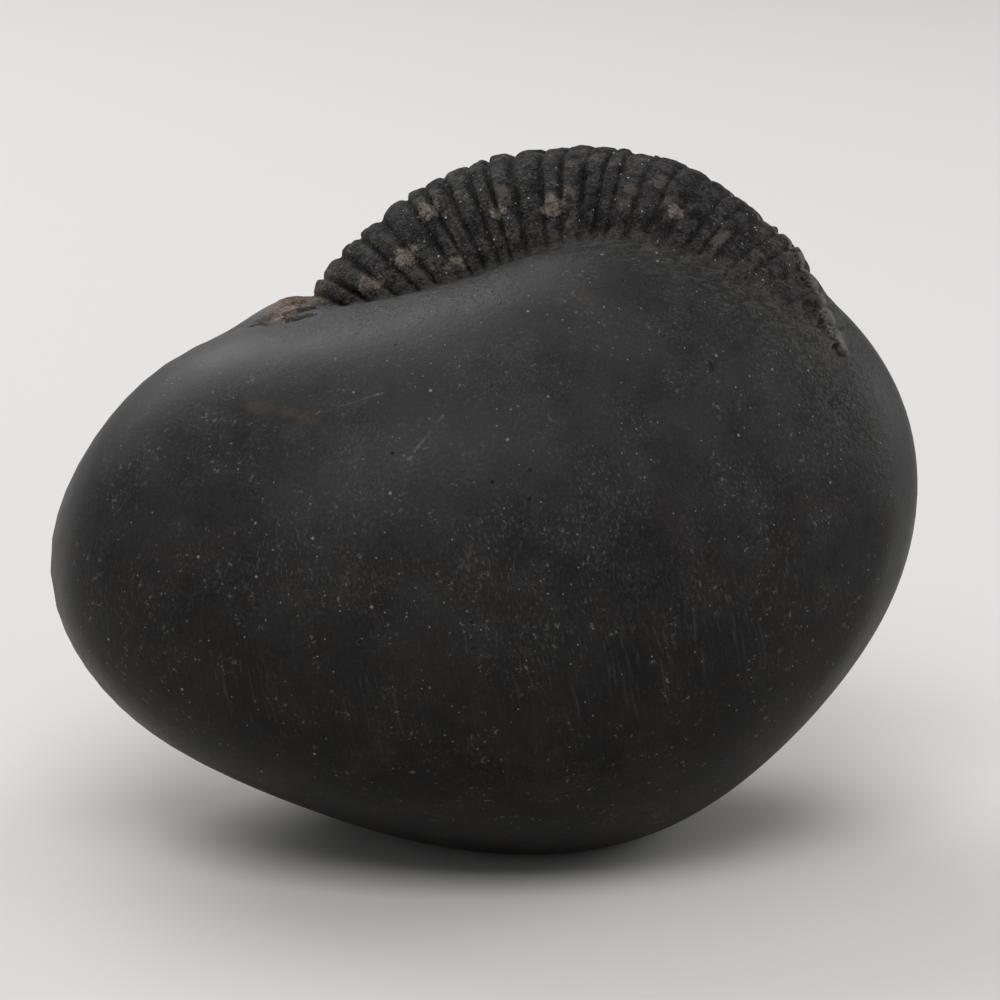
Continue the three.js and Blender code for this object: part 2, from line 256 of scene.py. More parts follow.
# Colours of the stone, as linear red, green, blue and alpha
SKIN_DARK = (0.0095, 0.0095, 0.0102, 1)
SKIN_PALE = (0.0215, 0.021, 0.0213, 1)
# Painted shade: the dark colour the skin takes low down
SKIN_LOW_SHADE = (0.0042, 0.0035, 0.003, 1)
SKIN_BROWN = (0.014, 0.0102, 0.0078, 1)
SKIN_GRAIN = (0.036, 0.035, 0.034, 1)
DUST_COLOUR = (0.04, 0.0395, 0.038, 1)
SCRATCH_COLOUR = (0.075, 0.072, 0.07, 1)
# Painted shade that darkens the skin beside the band
NEAR_BAND_SHADE_COLOUR = (0.0065, 0.006, 0.0057, 1)
SCALE_COLOUR = (0.042, 0.04, 0.038, 1)
FLECK_COLOUR = (0.1, 0.096, 0.088, 1)
SPECK_COLOUR = (0.2, 0.19, 0.175, 1)
PIT_COLOUR = (0.004, 0.0035, 0.003, 1)
RIB_DARK = (0.0105, 0.0102, 0.0108, 1)
RIB_PALE = (0.03, 0.0285, 0.028, 1)
RIB_GRAIN = (0.085, 0.08, 0.072, 1)
RIB_SHADOW = (0.0035, 0.003, 0.0028, 1)
RIB_WORN = (0.075, 0.062, 0.052, 1)
# Painted shade in the grooves and in their notches at the seam
GROOVE_SHADE_COLOUR = (0.0022, 0.002, 0.0019, 1)
CRUST_COLOUR = (0.15, 0.125, 0.1, 1)
# Painted glints on the ribs' grains and at the pit
PAINTED_GLINT_COLOUR = (0.5, 0.47, 0.43, 1)
SEAM_COLOUR = (0.06, 0.052, 0.047, 1)
KEEL_COLOUR = (0.13, 0.127, 0.123, 1)
LIP_COLOUR = (0.12, 0.087, 0.064, 1)
HOLLOW_COLOUR = (0.03, 0.018, 0.012, 1)
# Near-black of the pits and chips and of the hollow's lower edge, and painted shadow under the lowest rib
PIT_AND_SHADE_COLOUR = (0.007, 0.0035, 0.003, 1)
STAIN_COLOUR = (0.05, 0.034, 0.025, 1)
PALE_LINE_COLOUR = (0.1, 0.095, 0.088, 1)

# The stone is darker and browner low down, from the first height to the second, from the coil's centre;
# the darkening is painted shade on the underside. Low down the pale grain fades by this share, which adds to
# the painted shade, and the brown clouds, which have the high share everywhere, gain the low share.
LOW_PART = {"start": 10, "end": -27}
LOW_FADE = 0.7
BROWN_SHARE = {"high": 0.2, "low": 0.65}

# Patterns of noise: the size of their lumps, how many finer layers each has and how strong these are,
# and a shift that keeps the patterns apart
NOISES = {
    "cloud": {"size": 12, "detail": 3, "roughness": 0.65},
    "brown": {"size": 7, "detail": 3, "roughness": 0.7, "shift": 40},
    "grain": {"size": 0.4, "detail": 2, "roughness": 0.75},
    "dust": {"size": 5, "detail": 3, "roughness": 0.7, "shift": 25},
    "crumb": {"size": 0.75, "detail": 3, "roughness": 0.7, "shift": 5},
    "scale": {"size": 1.3, "detail": 3, "roughness": 0.75, "shift": 110},
    "scratched part": {"size": 9, "detail": 1, "roughness": 0.5, "shift": 15},
    "coarse": {"size": 1.2, "detail": 3, "roughness": 0.75, "shift": 30},
    "sand": {"size": 0.33, "detail": 1, "roughness": 0.6, "shift": 60},
    "patch": {"size": 3.0, "detail": 3, "roughness": 0.65, "shift": 70},
    "crumble": {"size": 0.9, "detail": 4, "roughness": 0.8, "shift": 130},
    "blotch": {"size": 3.0, "detail": 4, "roughness": 0.75, "shift": 90},
}
WANDER_NOISE = {"size": 1.6, "detail": 2, "roughness": 0.7}
STREAK_NOISE = {"size": 1.0, "detail": 1, "roughness": 0.5}

# Fine scratches run down the stone with a slant, and strokes beside the band run along it
STREAKS = {
    "scratch": {"direction": (0.17, 0.15, -1), "width": 0.26, "length": 18},
    "stroke": {"direction": (1, 0.1, 0.12), "width": 0.4, "length": 7},
}

# Two grids of specks, each with two kinds: the grid's spacing, the specks' radius, the shares of the cells
# that hold each kind, and the share of the radius where a speck is full
# The second kind of fine specks are painted glints on the ribs
FINE_SPECKS = {"spacing": 0.8, "radius": 0.13, "first_chance": 0.16, "second_chance": 0.4}
WIDE_SPECKS = {"spacing": 2.1, "radius": 0.24, "first_chance": 0.14, "second_chance": 0.12}
SPECK_CORE = 0.4

# Named places, each where one pattern lies or where several meet. A pattern or mark comes with the value
# where it starts and the value where it is full, and one without values is taken as it is.
NAMED_PLACES = {
    "clouds": (("cloud", 0.32, 0.68),),
    "crumbs": (("crumb", 0.61, 0.68), ("dust", 0.44, 0.6)),
    "scales": (("scale", 0.46, 0.62), ("near_band",)),
    "scratches": (("scratch", 0.58, 0.74), ("scratched part", 0.42, 0.6)),
    "strokes": (("stroke", 0.48, 0.75), ("near_band",)),
}

# Crust shows where its mark, or a weaker patch, adds up to enough with a mix of crumble and sand.
# It covers grooves by less than the rest.
CRUST_PATCH = {"edge": ("patch", 0.56, 0.7), "share": 0.6}
CRUST_SHARES = {"mark": 0.42, "crumble": 0.6, "sand": 0.4}
CRUST_EDGE = {"start": 0.76, "end": 0.92}
CRUST_LOSS_IN_GROOVE = 0.5

# Layers of colour, each over those before it: its colour, how strongly it covers, and where it lies,
# which is where all its patterns, marks and named places meet.
# The smooth skin is a cloudy charcoal, darker and browner low down, the darkening being painted shade, with
# a fine even grain, dusty patches with crumbs in them, painted shade beside the band over scaly skin,
# slanted scratches, strokes, specks and pinholes.
SKIN_LAYERS = (
    (SKIN_PALE, 1.0, (("clouds",),)),
    # Painted shade low down on the underside
    (SKIN_LOW_SHADE, 0.8, (("low",),)),
    (SKIN_BROWN, 1.0, (("brown", 0.42, 0.68), ("brown share",))),
    (SKIN_GRAIN, 0.5, (("grain", 0.48, 0.8), ("high",))),
    (DUST_COLOUR, 0.42, (("dust", 0.44, 0.64), ("grain", 0.35, 0.7), ("high",))),
    (FLECK_COLOUR, 0.75, (("crumbs",),)),
    # Painted shade beside the band, where the rim above would shade the skin
    (NEAR_BAND_SHADE_COLOUR, 0.55, (("near_band",),)),
    (SCALE_COLOUR, 0.35, (("scales",),)),
    (SKIN_GRAIN, 0.2, (("scratch", 0.4, 0.75), ("high",))),
    (SCRATCH_COLOUR, 0.42, (("lines",), ("high",))),
    (SPECK_COLOUR, 0.75, (("specks",),)),
    (PIT_COLOUR, 0.8, (("pinholes",),)),
)

# The ribs are dark and granular, with blotches, painted shade in their grooves, crust and painted glints on
# grains
RIB_LAYERS = (
    (RIB_PALE, 1.0, (("coarse", 0.38, 0.62),)),
    (RIB_GRAIN, 0.5, (("sand", 0.55, 0.7),)),
    (RIB_DARK, 0.45, (("sand", 0.46, 0.34),)),
    (RIB_SHADOW, 0.8, (("blotch", 0.52, 0.6),)),
    (RIB_WORN, 0.6, (("blotch", 0.45, 0.37),)),
    # Painted shade in the grooves
    (GROOVE_SHADE_COLOUR, 0.92, (("groove",),)),
    (CRUST_COLOUR, 1.0, (("crusted",), ("beside groove",), ("coarse", 0.25, 0.6))),
    # Painted glints on the grains
    (PAINTED_GLINT_COLOUR, 1.0, (("painted glints",), ("coarse", 0.35, 0.6))),
)

# Over both lie the worn keel, the tinted seam with painted shade in its notches, the chips, and the beige
# lip
EDGE_LAYERS = (
    (KEEL_COLOUR, 0.8, (("keel", 0.2, 0.8), ("coarse", 0.3, 0.5))),
    (SEAM_COLOUR, 0.6, (("seam",), ("patch", 0.35, 0.6), ("coarse", 0.38, 0.58), ("sand", 0.3, 0.55))),
    # Painted shade in the notches where the grooves meet the seam
    (GROOVE_SHADE_COLOUR, 0.85, (("notch",), ("blotch", 0.42, 0.5))),
    (PIT_AND_SHADE_COLOUR, 0.8, (("chip",), ("sand", 0.6, 0.45))),
    (LIP_COLOUR, 0.9, (("lip",), ("coarse", 0.3, 0.55))),
)

# The broken hollow in front of the lip is brown, with beige crumbs of the lip's colour
HOLLOW_PLACE = (("hollow", 0.1, 0.5),)
HOLLOW_CRUMBS = (("coarse", 0.44, 0.6),)

# Single pits: places from the coil's centre, and radii. Each is a short upright line of this length.
PITS = (
    ((11.7, -18.1, 14.8), 0.8),
    ((12.9, -18.9, 13.9), 0.6),
    ((-50.6, -25.6, -21.2), 0.7),
    ((-34.1, 2.6, 16.2), 2.6),
)
PIT_STRETCH = Vector((0, 0, 0.3))
PIT_STRENGTH = 0.85

# Stains and scratches that stand out, with a painted glint at the pit and a painted shadow under the lowest
# rib:
# both ends from the coil's centre, half width, strength and colour. They show on these values of the grain.
STAINS_AND_PAINTED_LIGHT = (
    ((-38.6, -24.0, 11.9), (-31.5, -27.3, 11.2), 1.1, 0.6, STAIN_COLOUR),
    # A painted glint at the pit
    ((-33.9, 4.2, 16.7), (-33.7, 4.2, 16.8), 0.5, 1.0, PAINTED_GLINT_COLOUR),
    ((-38.2, 0.6, 15.5), (-34.2, -2.4, 16.6), 1.5, 0.85, PIT_AND_SHADE_COLOUR),
    # A painted shadow under the lowest rib
    ((-32.8, 4.2, 17.0), (-29.3, 3.3, 19.7), 2.0, 0.8, PIT_AND_SHADE_COLOUR),
    ((-30.5, -27.1, 12.0), (-24.2, -26.4, 14.0), 0.2, 0.45, PALE_LINE_COLOUR),
    ((-20.7, -31.3, 8.7), (-17.7, -28.9, 12.0), 0.2, 0.6, PALE_LINE_COLOUR),
    ((-2.8, -14.8, 22.0), (-2.0, -14.8, 22.2), 0.7, 0.7, STAIN_COLOUR),
    ((-3.5, -18.3, 19.9), (-2.7, -18.3, 19.9), 0.5, 0.5, STAIN_COLOUR),
)
STAIN_GRAIN = ("grain", 0.3, 0.5)

# The soft, uneven edge of pits and stains, in half widths: how far noise pushes it in, and where it starts
# and is full
LINE_EDGE = {"wander": 2.4, "start": 2.3, "end": 1.1}

# Gloss, roughness of the skin and of the ribs, and how much clouds, lines and crumbs change it
STONE_SPECULAR = 0.11
SKIN_ROUGHNESS = 0.45
RIB_ROUGHNESS = 0.72
CLOUD_ROUGHNESS = 0.08
LINE_ROUGHNESS = 0.15

# Heights of the finest relief
BUMP_HEIGHTS = {"grain": 0.03, "scales": 0.06, "pits": 0.1, "ribs": 0.3}

# The floor, in metres
FLOOR_HALF_SIZE = 3.0
FLOOR_COLOUR = (0.56, 0.55, 0.54, 1)
FLOOR_ROUGHNESS = 0.9

# Soft studio lights, in metres and watts, which all face one target, and a plain white surrounding
LIGHT_TARGET = (0, 0, 0.04)
LIGHTS = (
    {"name": "behind", "place": (-0.45, 0.65, 0.7), "width": 0.8, "height": 0.7, "watts": 6},
    {"name": "overhead", "place": (0.1, 0.1, 0.9), "width": 0.8, "height": 0.6, "watts": 1.5},
    {"name": "right", "place": (0.8, 0.4, 0.35), "width": 0.4, "height": 0.5, "watts": 2.5},
    {"name": "front", "place": (-0.1, -0.7, 1.0), "width": 0.8, "height": 0.6, "watts": 9},
)
WORLD_COLOUR = (1, 1, 1, 1)
WORLD_STRENGTH = 0.36

# The camera: its height angle, its distance, the point it looks at and its lens
CAMERA_ELEVATION = 15
CAMERA_DISTANCE = 481
CAMERA_TARGET = (1.66, 2.62, 38.71)
CAMERA_LENS = 150
CAMERA_SENSOR = 36


def tilted_axes(lean, yaw):
    """Three axes of a plane that leans back and is turned about the vertical: right, away and up."""
    lean_cos, lean_sin = math.cos(math.radians(lean)), math.sin(math.radians(lean))
    yaw_cos, yaw_sin = math.cos(math.radians(yaw)), math.sin(math.radians(yaw))
    turn = np.array([[yaw_cos, yaw_sin, 0], [-yaw_sin, yaw_cos, 0], [0, 0, 1]])
    tilt = np.array([[1, 0, 0], [0, lean_cos, lean_sin], [0, -lean_sin, lean_cos]])
    return (turn @ tilt).T


COIL_AXES = tilted_axes(COIL_LEAN, COIL_YAW)
BODY_AXES = tilted_axes(BODY_LEAN, BODY_YAW)


def smooth_step(value, start, end):
    """0 before start and 1 past end, also where end comes before start."""
    share = np.clip((value - start) / (end - start), 0, 1)
    return share * share * (3 - 2 * share)


def nearness(points, place, radius):
    """1 at a place, falling away round it over about the radius."""
    return np.exp(-((points - np.asarray(place)) ** 2).sum(-1) / radius ** 2)


def outline_radius(angle):
    """Radius of the stone's outline at an angle in radians: a closed cubic spline.

    The spline smooths the radii a little, so each is first moved to bring the curve back close to it.
    """
    radii = np.asarray(BODY_RADII, float)
    count = len(radii)
    pull = radii - (np.roll(radii, 1) - 2 * radii + np.roll(radii, -1)) / 6
    place = (angle / (2 * math.pi)) % 1 * count
    first = np.floor(place).astype(int)
    t = place - first
    weights = (
        (1 - t) ** 3,
        3 * t ** 3 - 6 * t ** 2 + 4,
        -3 * t ** 3 + 3 * t ** 2 + 3 * t + 1,
        t ** 3,
    )
    return sum(weight / 6 * pull[(first - 1 + step) % count] for step, weight in enumerate(weights))


def outside_body(points):
    """How far points lie outside the smooth stone; it is below zero inside."""
    local = points - np.asarray(BODY_FROM_COIL)
    right, away, up = (local @ axis for axis in BODY_AXES)
    angle = np.arctan2(up, right)
    deep = np.abs(away) / np.where(away < 0, BODY_FRONT, BODY_BACK)
    face = 1 / np.hypot(np.cos(angle) / FACE_RIGHT, np.sin(angle) / FACE_UP)
    blend = smooth_step(deep, **FACE_BLEND)
    reach = outline_radius(angle) * (1 - blend) + face * blend
    rounded = np.hypot(right, up) / reach
    share = (rounded ** BODY_POWER + deep ** BODY_POWER) ** (1 / BODY_POWER)
    return np.linalg.norm(local, axis=-1) * (1 - 1 / share)


def rib_shift(angle):
    """How far the ribs at an angle are shifted back from even spacing."""
    return sum(wave["shift"] * np.sin(angle * 2 * math.pi / wave["length"]) for wave in RIB_SHIFTS)


def rib_relief(angle, across):
    """Shape and strength of the ribs at an angle of the coil and a place across the rim.

    The shape is 0 in a groove and 1 on top of a rib, and the strength is 0 where the ribs are worn away.
    """
    swung = angle + RIB_SWING * np.minimum(across * across, MOST_SWING)
    swung = swung + rib_shift(swung)
    number = np.round((swung - FIRST_RIB) / RIB_STEP)
    phase = (swung - FIRST_RIB) / RIB_STEP - number
    groove = np.exp(-(((0.5 - np.abs(phase)) / GROOVE_HALF_WIDTH) ** 2))
    rounding = 1 - RIB_ROUNDING * (1 - np.cos(math.pi * phase))
    last_rib = FIRST_RIB + (RIB_COUNT - 1) * RIB_STEP
    start = smooth_step(angle, FIRST_RIB - RIB_FADE, FIRST_RIB + RIB_FADE)
    end = 1 - smooth_step(angle, last_rib - RIB_FADE, last_rib + RIB_FADE)
    side = 1 - smooth_step(np.abs(across), **RIB_SIDE_END)
    top_wear = WORN_TOP["share"] * np.exp(-((angle - WORN_TOP["angle"]) / WORN_TOP["spread"]) ** 2)
    on_right = smooth_step(angle, WORN_RIGHT["start"], WORN_RIGHT["end"])
    near_wear = WORN_RIGHT["share"] * on_right * smooth_step(across, **WORN_NEAR_SIDE)
    from_middle = (across - WORN_MIDDLE["across"]) / WORN_MIDDLE["half_width"]
    middle_share = WORN_MIDDLE["share"] * (1 - on_right) + WORN_MIDDLE["right_share"] * on_right
    middle_wear = middle_share * np.exp(-from_middle ** 2)
    wear = (1 - top_wear) * (1 - near_wear) * (1 - middle_wear)
    turns = np.sin(number * RIB_UNEVENNESS["fast_rate"]) * np.cos(number * RIB_UNEVENNESS["slow_rate"])
    uneven = 1 + RIB_UNEVENNESS["share"] * turns
    return (1 - groove) * rounding, start * end * side * wear * uneven


def rim_place(points):
    """Where points lie on the coil.

    Gives their angles round it, the rim's reach at these angles, their own distances from the centre in the
    coil's plane and away from that plane, and their places across the rim.
    """
    right, away, up = (points @ axis for axis in COIL_AXES)
    angle = np.degrees(np.arctan2(up, right))
    angle = np.where(angle < FIRST_ANGLE, angle + 360, angle)
    on_top = smooth_step(angle, **RIM_TOP_RIGHT) * (1 - smooth_step(angle, **RIM_TOP_LEFT))
    reach = RIM_REACH * TURN_GROWTH ** ((angle - 90) / 360) + RIM_TOP_HEIGHT * on_top
    narrowed = NARROWING["share"] * smooth_step(angle, NARROWING["start"], NARROWING["end"])
    across = away / (reach * (SECTION_HALF_WIDTH - narrowed))
    return angle, reach, np.hypot(right, up), away, across


def keel_profile(angle, away):
    """1 on the line of the keel, falling away to both sides of it."""
    forward = KEEL_FORWARD * smooth_step(angle, **KEEL_SHIFT)
    return np.exp(-(((away + forward) / KEEL_HALF_WIDTH) ** 2))


def coil_surface(points):
    """The coil's surface near points.

    Gives the points' angles round the coil, how far they lie outside the plain outer whorl, how high the
    ribs and the keel stand there, and how high the buried rim lifts the stone.
    """
    angle, reach, distance, away, across = rim_place(points)
    half_height = reach * SECTION_HALF_HEIGHT
    section = (np.hypot((distance - reach + half_height) / half_height, across) - 1) * half_height
    keel_fade = 1 - smooth_step(angle, **KEEL_END)
    keel = KEEL_HEIGHT * keel_profile(angle, away) * keel_fade
    left_dive = smooth_step(angle, **LEFT_END)
    right_dive = smooth_step(angle, **RIGHT_END)
    outside = section + DIVE_DEPTH * (left_dive + right_dive)
    buried = smooth_step(angle, **BURIED_START) * (1 - smooth_step(angle, **BURIED_END))
    ridge = np.exp(-(((away - BURIED_RIM["away"]) / BURIED_RIM["half_width"]) ** 2))
    shape, strength = rib_relief(angle, across)
    ribs = RIB_HEIGHT * (shape - RIB_SUNKEN_SHARE) * strength
    return angle, outside, ribs, keel, BURIED_RIM["height"] * buried * ridge


def dent_depth(points, dents):
    """How deep the given dents go in at each point."""
    depth = 0
    for dent in dents:
        distance = np.linalg.norm(points - np.asarray(dent["place"]), axis=-1)
        depth = depth + dent["depth"] * smooth_step(distance, dent["radius"], dent["radius"] * DENT_EDGE)
    return depth


def outside_stone(points):
    """How far points, measured from the coil's centre, lie outside the whole stone."""
    angle, coil, ribs, keel, ridge = coil_surface(points)
    body = outside_body(points) - ridge - LIP_HEIGHT * nearness(points, LIP_FROM_COIL, LIP_RADIUS)
    softness = smooth_step(angle, **JOIN_CHANGE)
    join_width = JOIN_WIDTH["left"] * (1 - softness) + JOIN_WIDTH["right"] * softness
    mix = np.clip(0.5 + 0.5 * (coil - body) / join_width, 0, 1)
    joined = coil * (1 - mix) + body * mix - join_width * mix * (1 - mix)
    crevice = CREVICE_DEPTH * (1 - softness) * np.exp(-(((body - coil) / CREVICE_HALF_WIDTH) ** 2))
    swell = 0
    for wave in SWELLS:
        travel = points @ np.asarray(wave["along"])
        swell = swell + SWELL_HEIGHT * np.sin(travel * 2 * math.pi / wave["length"] + wave["start"])
    dents = dent_depth(points, HOLLOWS + CHIPS)
    return joined + crevice + dents + swell - (ribs + keel) * (1 - mix)


def rest_height(z):
    """Flattens the underside to the resting plane, with a rounded edge."""
    eased = (z + FLAT_EDGE) ** 2 / (4 * FLAT_EDGE)
    return np.where(z >= FLAT_EDGE, z, np.where(z <= -FLAT_EDGE, 0, eased))


def ray_directions(angles, latitudes):
    """Directions from the coil's centre, from angles round the coil and latitudes off its plane."""
    angles = np.radians(angles)
    latitudes = np.radians(latitudes)
    return (
        (np.cos(latitudes) * np.cos(angles))[..., None] * COIL_AXES[0]
        + np.sin(latitudes)[..., None] * COIL_AXES[1]
        + (np.cos(latitudes) * np.sin(angles))[..., None] * COIL_AXES[2]
    )


def surface_distance(directions):
    """Distance from the coil's centre to the surface, by halving the stretch where it must lie."""
    inside = np.full(directions.shape[:-1], float(NEAREST))
    outside = np.full(directions.shape[:-1], float(FARTHEST))
    for _ in range(HALVINGS):
        middle = (inside + outside) / 2
        is_inside = outside_stone(directions * middle[..., None]) < 0
        inside = np.where(is_inside, middle, inside)
        outside = np.where(is_inside, outside, middle)
    return inside


def column_angles():
    """Angles of the mesh's columns along the middle of the rim: close over the ribs, wide elsewhere."""
    first_edge = FIRST_RIB - RIB_STEP / 2
    close_steps = RIB_COUNT + EXTRA_STEPS
    ribbed_span = close_steps * RIB_STEP
    rib_columns = close_steps * COLUMNS_PER_RIB
    ribbed = first_edge + np.arange(rib_columns) * ribbed_span / rib_columns
    plain = first_edge + ribbed_span + np.arange(PLAIN_COLUMNS) * (360 - ribbed_span) / PLAIN_COLUMNS
    even = np.concatenate([ribbed, plain])
    shifted = even
    for _ in range(SHIFT_ROUNDS):
        shifted = even - rib_shift(shifted)
    return shifted


def row_latitudes():
    """Latitudes of the mesh's rows between the two poles, close together across the ribbed band."""
    side_step = (90 - BAND_LATITUDE) / SIDE_ROWS
    side = BAND_LATITUDE + side_step * np.arange(1, SIDE_ROWS)
    band = np.linspace(-BAND_LATITUDE, BAND_LATITUDE, BAND_ROWS + 1)
    return np.concatenate([-side[::-1], band, side])


def stone_faces(rows, columns):
    """Four-sided faces of the grid of rows and columns, and a fan of triangles at each pole."""
    row, column = np.meshgrid(np.arange(rows - 1), np.arange(columns), indexing="ij")
    here = 1 + row * columns + column
    beside = 1 + row * columns + (column + 1) % columns
    quads = np.stack([here, here + columns, beside + columns, beside], -1).reshape(-1, 4)
    around = np.arange(columns)
    after = (around + 1) % columns
    last_row = 1 + (rows - 1) * columns
    last_pole = rows * columns + 1
    first_fan = np.stack([np.zeros(columns, int), 1 + around, 1 + after], -1)
    last_fan = np.stack([np.full(columns, last_pole), last_row + after, last_row + around], -1)
    return quads.tolist() + first_fan.tolist() + last_fan.tolist()


def lattice_noise(points, size, seed):
    """Smooth noise from -1 to 1 with lumps of about the given size."""
    low = points.min(0) - size
    cells = np.ceil((points.max(0) + size - low) / size).astype(int) + 2
    values = np.random.default_rng(seed).uniform(-1, 1, cells)
    place = (points - low) / size
    corner = np.floor(place).astype(int)
    share = place - corner
    share = share * share * (3 - 2 * share)
    total = 0
    for step in np.ndindex(2, 2, 2):
        weight = np.prod(np.where(step, share, 1 - share), axis=-1)
        total = total + weight * values[tuple((corner + step).T)]
    return total


def grain_relief(points, grain):
    return grain["height"] * lattice_noise(points, grain["size"], grain["seed"])


def wear_stone(points, directions):
    """Wears the ribs unevenly and roughens them. Gives the new points, and marks for the material."""
    body = outside_body(points)
    _, coil, ribs, _, _ = coil_surface(points)
    angle, _, _, away, across = rim_place(points)
    stands_out = body - coil
    ribbed = smooth_step(stands_out, **RIBBED_EDGE)
    crust = sum(nearness(points, place, radius) for place, radius in CRUST_PATCHES)
    hollow = np.clip(dent_depth(points, HOLLOWS), 0, 1)

    wear = lattice_noise(points, RIB_WEAR["size"], RIB_WEAR["seed"])
    flakes = lattice_noise(points, RIB_FLAKES["size"], RIB_FLAKES["seed"])
    flakes = smooth_step(flakes, -RIB_FLAKES["edge"], RIB_FLAKES["edge"]) - 0.5
    change = ribs * RIB_WEAR["share"] * wear + RIB_FLAKES["height"] * flakes + CRUST_HEIGHT * crust
    for grain in RIB_GRAINS:
        change = change + grain_relief(points, grain)
    change = change * ribbed + hollow * grain_relief(points, HOLLOW_GRAIN)

    shape, strength = rib_relief(angle, across)
    groove = np.clip(1 - shape, 0, 1) ** GROOVE_DEPTH_POWER
    groove = groove * np.clip(strength, 0, 1) ** GROOVE_STRENGTH_POWER * ribbed
    seam = np.exp(-(((stands_out - SEAM["place"]) / SEAM["half_width"]) ** 2))
    on_left = smooth_step(angle, **LEFT_PART)
    near_band_start = NEAR_BAND["right_start"] * (1 - on_left) + NEAR_BAND["left_start"] * on_left
    keel = keel_profile(angle, away) * smooth_step(stands_out, **KEEL_MARK_EDGE)
    keel = keel * smooth_step(angle, **KEEL_MARK_START) * (1 - smooth_step(angle, **KEEL_MARK_END))
    lip = LIP_MARK_STRENGTH * nearness(points, LIP_MARK_FROM_COIL, LIP_MARK_RADIUS)
    marks = {
        "ribbed": ribbed,
        "groove": groove,
        "crust": np.clip(CRUST_MARK_STRENGTH * crust, 0, 1) * ribbed,
        "seam": seam,
        "notch": seam * smooth_step(groove, **NOTCH_DEPTH) * on_left,
        "keel": keel,
        "chip": np.clip(CHIP_MARK_STRENGTH * dent_depth(points, CHIPS), 0, 1),
        "near_band": smooth_step(stands_out, near_band_start, NEAR_BAND["end"]),
        "lip": np.clip(lip, 0, 1),
        "hollow": hollow,
    }
    return points + directions * change[:, None], marks


def make_stone():
    angles = column_angles()
    latitudes = row_latitudes()
    swing = RIB_SWING * np.minimum((latitudes / SIDE_LATITUDE) ** 2, MOST_SWING)
    grid_angles = angles[None, :] - swing[:, None]
    grid_latitudes = np.repeat(latitudes[:, None], len(angles), axis=1)
    grid = ray_directions(grid_angles, grid_latitudes).reshape(-1, 3)
    directions = np.vstack([-COIL_AXES[1], grid, COIL_AXES[1]])
    points = directions * surface_distance(directions)[:, None]
    points, marks = wear_stone(points, directions)
    points = points + np.asarray(COIL_CENTRE)
    points[:, 2] = rest_height(points[:, 2])
    mesh = bpy.data.meshes.new("stone")
    mesh.from_pydata((points * MM).tolist(), [], stone_faces(len(latitudes), len(angles)))
    mesh.shade_smooth()
    for name in MARKS:
        attribute = mesh.attributes.new(name, "FLOAT", "POINT")
        attribute.data.foreach_set("value", marks[name].astype(np.float32))
    stone = bpy.data.objects.new("stone", mesh)
    bpy.context.scene.collection.objects.link(stone)
    return stone


